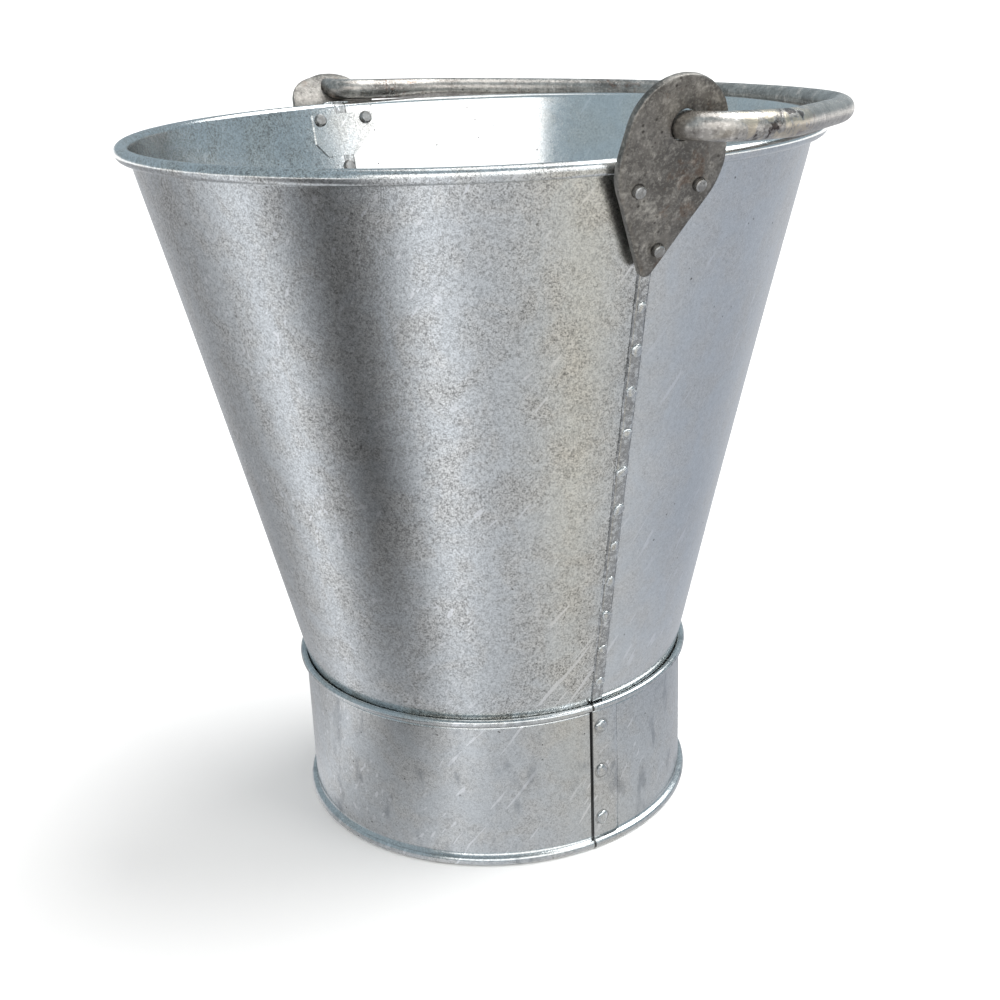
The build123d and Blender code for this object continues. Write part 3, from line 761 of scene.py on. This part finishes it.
makeEar("nearEar", 1, 5.35, (-2.0, 20.0, 11.0), hingeNear, False, 0.0, 1.9, "near_ear_plate")
makeEar("farEar", -1, 5.2, (1.5, 13.5, 10.0), hingeFar, True, 12.0, 6.2, "far_ear_plate")


bailSize = {
    "rod": 5.0, "drop": 2.75, "bow": 154.9, "nearLeg": 170.5, "nearTurn": 38.0, "nearShoulder": 60.0,
    "farLeg": 147.2, "farTurn": 30.0, "farShoulder": 50.0, "elbow": 9.5, "nearEnd": 148.2, "farEnd": 170.5,
    "step": 1.4, "around": 28, "peen": 6.6, "peenLength": 2.4,
}


def tangentCorner(leg, turn):
    a = math.radians(turn)
    t = (leg - bailSize["bow"] * math.cos(a)) / math.sin(a)
    return leg, bailSize["bow"] * math.sin(a) - t * math.cos(a)


def bowPoint(turn):
    return bailSize["bow"] * math.cos(math.radians(turn)), bailSize["bow"] * math.sin(math.radians(turn))


def roundedPath(corners, radii, step):
    path = [Vector(corners[0]).to_3d()]
    for k in range(1, len(corners) - 1):
        p, before, after = (Vector(corners[j]).to_3d() for j in (k, k - 1, k + 1))
        a, b = (before - p).normalized(), (after - p).normalized()
        half = a.angle(b) / 2
        reach = radii[k - 1] / math.tan(half)
        centre = p + (a + b).normalized() * (radii[k - 1] / math.sin(half))
        start, end = p + a * reach, p + b * reach
        sweep = (start - centre).angle(end - centre)
        turn = 1 if (start - centre).cross(end - centre).z > 0 else -1
        pieces = max(4, int(radii[k - 1] * sweep / step))
        for j in range(pieces + 1):
            path.append(centre + Matrix.Rotation(turn * sweep * j / pieces, 3, "Z") @ (start - centre))
    path.append(Vector(corners[-1]).to_3d())
    return path


def evenPath(path, step):
    marks = np.concatenate(([0.0], np.cumsum([(b - a).length for a, b in zip(path, path[1:])])))
    keep = [0] + [k for k in range(1, len(path)) if marks[k] - marks[k - 1] > 1e-6]
    marks, path = marks[keep], [path[k] for k in keep]
    count = int(marks[-1] / step)
    at = np.linspace(0, marks[-1], count + 1)
    xs = np.interp(at, marks, [p.x for p in path])
    ys = np.interp(at, marks, [p.y for p in path])
    return [Vector((float(x), float(y), 0)) for x, y in zip(xs, ys)]


def makeBail():
    d = bailSize
    alongHinge = (hingeNear - hingeFar).normalized()
    centre = (hingeNear + hingeFar) / 2
    drop = math.radians(d["drop"])
    crown = Vector((alongHinge.z * math.sin(drop), math.cos(drop), -alongHinge.x * math.sin(drop)))
    sideways = alongHinge.cross(crown)
    farCorner = tangentCorner(d["farLeg"], d["farTurn"])
    nearCorner = tangentCorner(d["nearLeg"], d["nearTurn"])
    path = roundedPath([(d["nearEnd"], 0), (d["nearLeg"], 0), nearCorner, bowPoint(d["nearTurn"])],
                       [d["elbow"], d["nearShoulder"]], 0.8)
    farAngle = 180 - d["farTurn"]
    bowSteps = 200
    for k in range(1, bowSteps):
        turn = d["nearTurn"] + (farAngle - d["nearTurn"]) * k / bowSteps
        path.append(Vector(bowPoint(turn)).to_3d())
    farCorners = [bowPoint(farAngle), (-farCorner[0], farCorner[1]), (-d["farLeg"], 0), (-d["farEnd"], 0)]
    path += roundedPath(farCorners, [d["farShoulder"], d["elbow"]], 0.8)
    path = evenPath(path, d["step"])
    total = len(path)
    points = []
    for k, p in enumerate(path):
        tangent = (path[min(total - 1, k + 1)] - path[max(0, k - 1)]).normalized()
        sideFlat = Vector((-tangent.y, tangent.x, 0))
        centrePoint = centre + alongHinge * p.x + crown * p.y
        normal = alongHinge * sideFlat.x + crown * sideFlat.y
        for j in range(d["around"]):
            a = 2 * math.pi * j / d["around"]
            spin = normal * math.cos(a) + sideways * math.sin(a)
            lump = 0.10 * wave(*(centrePoint + 6 * spin), 0.08, 3.0)
            lump += 0.03 * wave(*(centrePoint + 9 * spin), 0.14, 9.0)
            r = d["rod"] + min(0.0, lump) - 0.02
            if k * d["step"] < d["peenLength"] + 1.0:  # upset end
                t = k * d["step"] / (d["peenLength"] + 1.0)
                swell = math.sin(math.pi * min(1.0, 0.30 + 0.7 * t)) ** 0.7 * (1 - t ** 4)
                r = d["rod"] + (d["peen"] - d["rod"]) * swell
            if total - 1 - k == 0:
                r -= 1.1
            points.append((centrePoint + spin * r) * mm)
    around = d["around"]
    faces = gridFaces(total, around, False, True)
    first, last = 0, (total - 1) * around
    for ring, outward, lift in ((first, -alongHinge, 0.5), (last, -alongHinge, 0.4)):
        middle = sum((points[ring + j] for j in range(around)), Vector()) / around
        inner = [middle + (points[ring + j] - middle) * 0.7 + outward * lift * mm for j in range(around)]
        tip = middle + outward * lift * 1.2 * mm
        base = len(points)
        points += inner + [tip]
        for j in range(around):
            n = (j + 1) % around
            faces.append((ring + j, ring + n, base + n, base + j))
            faces.append((base + j, base + n, base + around))
    return addPiece("bailRod", points, faces, bailFinish, "bail", "bail_steel", "bail_handle")


makeBail()


kept = {
    "bottom_pan": plainFinish, "foot_wire": wireFinish, "rim_wire": wireFinish,
    "near_backing_plate": plainFinish, "far_backing_plate": plainFinish,
    "near_ear_rivet_left": rivetFinish, "near_ear_rivet_right": rivetFinish,
    "near_ear_rivet_lower": rivetFinish, "far_ear_rivet_left": rivetFinish,
    "far_ear_rivet_right": rivetFinish, "far_ear_rivet_lower": rivetFinish,
}
for name, finish in kept.items():
    part = nodes[name]
    if not part.data.materials:
        part.data.materials.append(finish)
    for k in range(len(part.material_slots)):
        part.material_slots[k].material = finish
print("frame parts dressed")


cameraPlace = {"lens": 51.4, "distance": 0.631, "height": 0.373, "turn": 26.8, "pitch": 0.3547,
               "roll": -0.0383, "yaw": 0.0098}  # metres; the turn in degrees, the rest in radians


def makeCamera():
    c = cameraPlace
    turn = math.radians(c["turn"])
    sideAxis = Vector((math.sin(turn), math.cos(turn), 0))
    away = Vector((-math.cos(turn), math.sin(turn), 0))
    upAxis = Vector((0, 0, 1))
    ahead = (sideAxis * math.sin(c["yaw"]) + away * math.cos(c["yaw"])) * math.cos(c["pitch"])
    ahead -= upAxis * math.sin(c["pitch"])
    level = sideAxis * math.cos(c["yaw"]) - away * math.sin(c["yaw"])
    top = level.cross(ahead)
    right = level * math.cos(c["roll"]) + top * math.sin(c["roll"])
    upward = top * math.cos(c["roll"]) - level * math.sin(c["roll"])
    data = bpy.data.cameras.new("studioCamera")
    data.lens = c["lens"]
    data.sensor_width = 36.0
    data.clip_start = 0.01
    camera = bpy.data.objects.new("studioCamera", data)
    bpy.context.scene.collection.objects.link(camera)
    axes = Matrix((right, upward, -ahead)).transposed().to_4x4()
    camera.matrix_world = Matrix.Translation(-away * c["distance"] + upAxis * c["height"]) @ axes
    bpy.context.scene.camera = camera
    return camera, away, sideAxis


camera, away, rightward = makeCamera()
toCamera = -away


def glowLook(name, strength, tint=None):  # without a tint it shows the mesh's own shades
    look = Look(name, bare=True)
    colour = tint or look.node("VertexColor", {"layer_name": "shade"}, {})
    glow = look.node("Emission", {}, {"Color": colour, "Strength": strength})
    look.node("OutputMaterial", {}, {"Surface": glow})
    return look.owner


def makeStage(name, points, faces, material, shades=None, onlyGlossy=False):
    mesh = bpy.data.meshes.new(name)
    mesh.from_pydata([tuple(p) for p in points], [], faces)
    mesh.materials.append(material)
    if shades is not None:
        layer = mesh.color_attributes.new("shade", "FLOAT_COLOR", "POINT")
        layer.data.foreach_set("color", np.array(shades, np.float32).ravel())
    thing = bpy.data.objects.new(name, mesh)
    bpy.context.scene.collection.objects.link(thing)
    if onlyGlossy:
        thing.visible_camera = False
        thing.visible_diffuse = False
        thing.visible_shadow = False
        thing.visible_transmission = False
    return thing


def makeFloor():
    look = Look("paleFloor")
    look.feed(Base_Color=rgb(0.93, 0.93, 0.925), Roughness=0.9, Specular_IOR_Level=0.1)
    half = 60.0
    corners = [(-half, -half, 0), (half, -half, 0), (half, half, 0), (-half, half, 0)]
    return makeStage("floor", corners, [(0, 1, 2, 3)], look.owner)


# Dark flags and light strips laid on the studio floor. Only reflections in the metal show them.
floorFlags = {
    # name: degrees round from the camera's side, width in degrees, how much lighter or darker, warmth
    "leftFlag": (-120.0, 25.0, -0.25, 0.0),
    "leftStrip": (-78.0, 12.0, 0.40, 0.0),
    "darkFlag": (-45.0, 20.0, -0.50, 0.0),
    "frontStrip": (-15.0, 10.0, 0.45, 0.0),
    "warmFlag": (35.0, 15.0, 0.05, 0.10),
    "rightFlag": (100.0, 40.0, -0.15, -0.05),
}
floorCard = {"inner": 0.05, "outer": 2.2, "rings": 28, "spokes": 180, "lift": 0.0012, "level": 0.62,
             "fadeFrom": 0.13, "fadeTo": 0.28, "nearFoot": 0.35, "warmth": -0.03}


def makeFloorFlags():
    d = floorCard
    points, colours = [], []
    for i in range(d["spokes"]):
        turn = -180.0 + 360.0 * i / d["spokes"]
        heading = math.radians(turn)
        flat = toCamera * math.cos(heading) + rightward * math.sin(heading)
        for j in range(d["rings"]):
            radius = d["inner"] * (d["outer"] / d["inner"]) ** (j / (d["rings"] - 1))
            away = min(1.0, max(0.0, (radius - d["fadeFrom"]) / (d["fadeTo"] - d["fadeFrom"])))
            share = d["nearFoot"] + (1 - d["nearFoot"]) * away
            level, warm = d["level"], d["warmth"]
            for centre, width, change, warmth in floorFlags.values():
                gap = (turn - centre + 180.0) % 360.0 - 180.0
                here = math.exp(-((gap / width) ** 2)) * share
                level += change * here
                warm += warmth * here
            points.append((flat.x * radius, flat.y * radius, d["lift"]))
            colours.append((level * (1 + warm), level * (1 + 0.3 * warm), level * (1 - 1.2 * warm), 1))
    return makeStage("floorFlags", points, gridFaces(d["spokes"], d["rings"], True, False),
                     glowLook("floorFlagGlow", 1.0), colours, True)


upperSize = {"right": 0.2, "front": -0.2, "height": 1.6, "width": 1.0, "depth": 0.9, "strength": 1.6}


def makeUpperCard():  # a level white card above the mouth
    d = upperSize
    facing = Vector((0.001, 0, -1))
    side = Vector((0, 0, 1)).cross(facing).normalized()
    up = facing.cross(side).normalized()
    centre = Vector((0, 0, d["height"])) + rightward * d["right"] + toCamera * d["front"]
    points = [centre + side * d["width"] / 2 * a + up * d["depth"] / 2 * b
              for a, b in ((-1, -1), (1, -1), (1, 1), (-1, 1))]
    glow = glowLook("upperGlow", d["strength"], rgb(1, 1, 1))
    return makeStage("upperCard", points, [(0, 1, 2, 3)], glow, None, True)


frontSize = {"radius": 1.6, "left": -30.0, "right": 56.0, "low": 0.45, "high": 1.5, "steps": 24,
             "strength": 1.9}


def makeFrontCard():  # a bent white card that lights the inside of the far wall
    d = frontSize
    points = []
    for k in range(d["steps"] + 1):
        a = math.radians(d["left"] + (d["right"] - d["left"]) * k / d["steps"])
        foot = (toCamera * math.cos(a) + rightward * math.sin(a)) * d["radius"]
        points += [foot + Vector((0, 0, d["low"])), foot + Vector((0, 0, d["high"]))]
    return makeStage("frontCard", points, gridFaces(d["steps"] + 1, 2, False, False),
                     glowLook("frontGlow", d["strength"], rgb(1, 1, 1)), None, True)


lamps = {  # metres right of the camera's line, towards the camera and up, then size, power and tint
    "sideLight": (1.5, 0.9, 0.9, 0.8, 9.0, (1.0, 0.99, 0.97)),
    "fillLight": (-1.2, 1.5, 1.1, 1.0, 5.0, (0.97, 0.99, 1.0)),
}
sunSize = {"right": 0.55, "front": -0.25, "energy": 2.8, "spread": 50.0}
aim = Vector((0, 0, 0.16))


def hangLight(name, data, heading):
    light = bpy.data.objects.new(name, data)
    bpy.context.scene.collection.objects.link(light)
    light.rotation_mode = "QUATERNION"
    light.rotation_quaternion = heading.to_track_quat("-Z", "Y")
    return light


def makeLamp(name, right, front, height, size, power, tint):
    data = bpy.data.lights.new(name, "AREA")
    data.shape = "RECTANGLE"
    data.size, data.size_y = size, size
    data.energy = power
    data.color = tint
    centre = rightward * right + toCamera * front + Vector((0, 0, height))
    light = hangLight(name, data, aim - centre)
    light.location = centre
    light.visible_glossy = False


def makeSun():
    d = sunSize
    data = bpy.data.lights.new("softSun", "SUN")
    data.energy = d["energy"]
    data.angle = math.radians(d["spread"])
    hangLight("softSun", data, -(rightward * d["right"] + toCamera * d["front"] + Vector((0, 0, 1))))


roomGlow = {  # tint and strength of the plain room, as each kind of ray meets it
    "seen": (rgb(1, 1, 1), 1.0),
    "mirrored": (rgb(0.74, 0.90, 1.0), 0.46),
    "matte": (rgb(1, 1, 1), 0.80),
}


def makeWorld():
    look = Look("studio", "worlds", True)
    room = {}
    for name, (tint, strength) in roomGlow.items():
        room[name] = look.node("Background", {}, {"Color": tint, "Strength": strength})
    matteRay = look.node("LightPath", {}, {}, "Is Diffuse Ray")
    seenRay = look.node("LightPath", {}, {}, "Is Camera Ray")
    lit = look.node("MixShader", {}, {0: matteRay, 1: room["mirrored"], 2: room["matte"]})
    shown = look.node("MixShader", {}, {0: seenRay, 1: lit, 2: room["seen"]})
    look.node("OutputWorld", {}, {"Surface": shown})
    bpy.context.scene.world = look.owner


makeFloor()
makeFloorFlags()
makeWorld()
makeFrontCard()
makeUpperCard()
for name, place in lamps.items():
    makeLamp(name, *place)
makeSun()
bpy.context.scene.view_settings.view_transform = "Standard"
bpy.context.scene.view_settings.look = "None"
print("stage set")
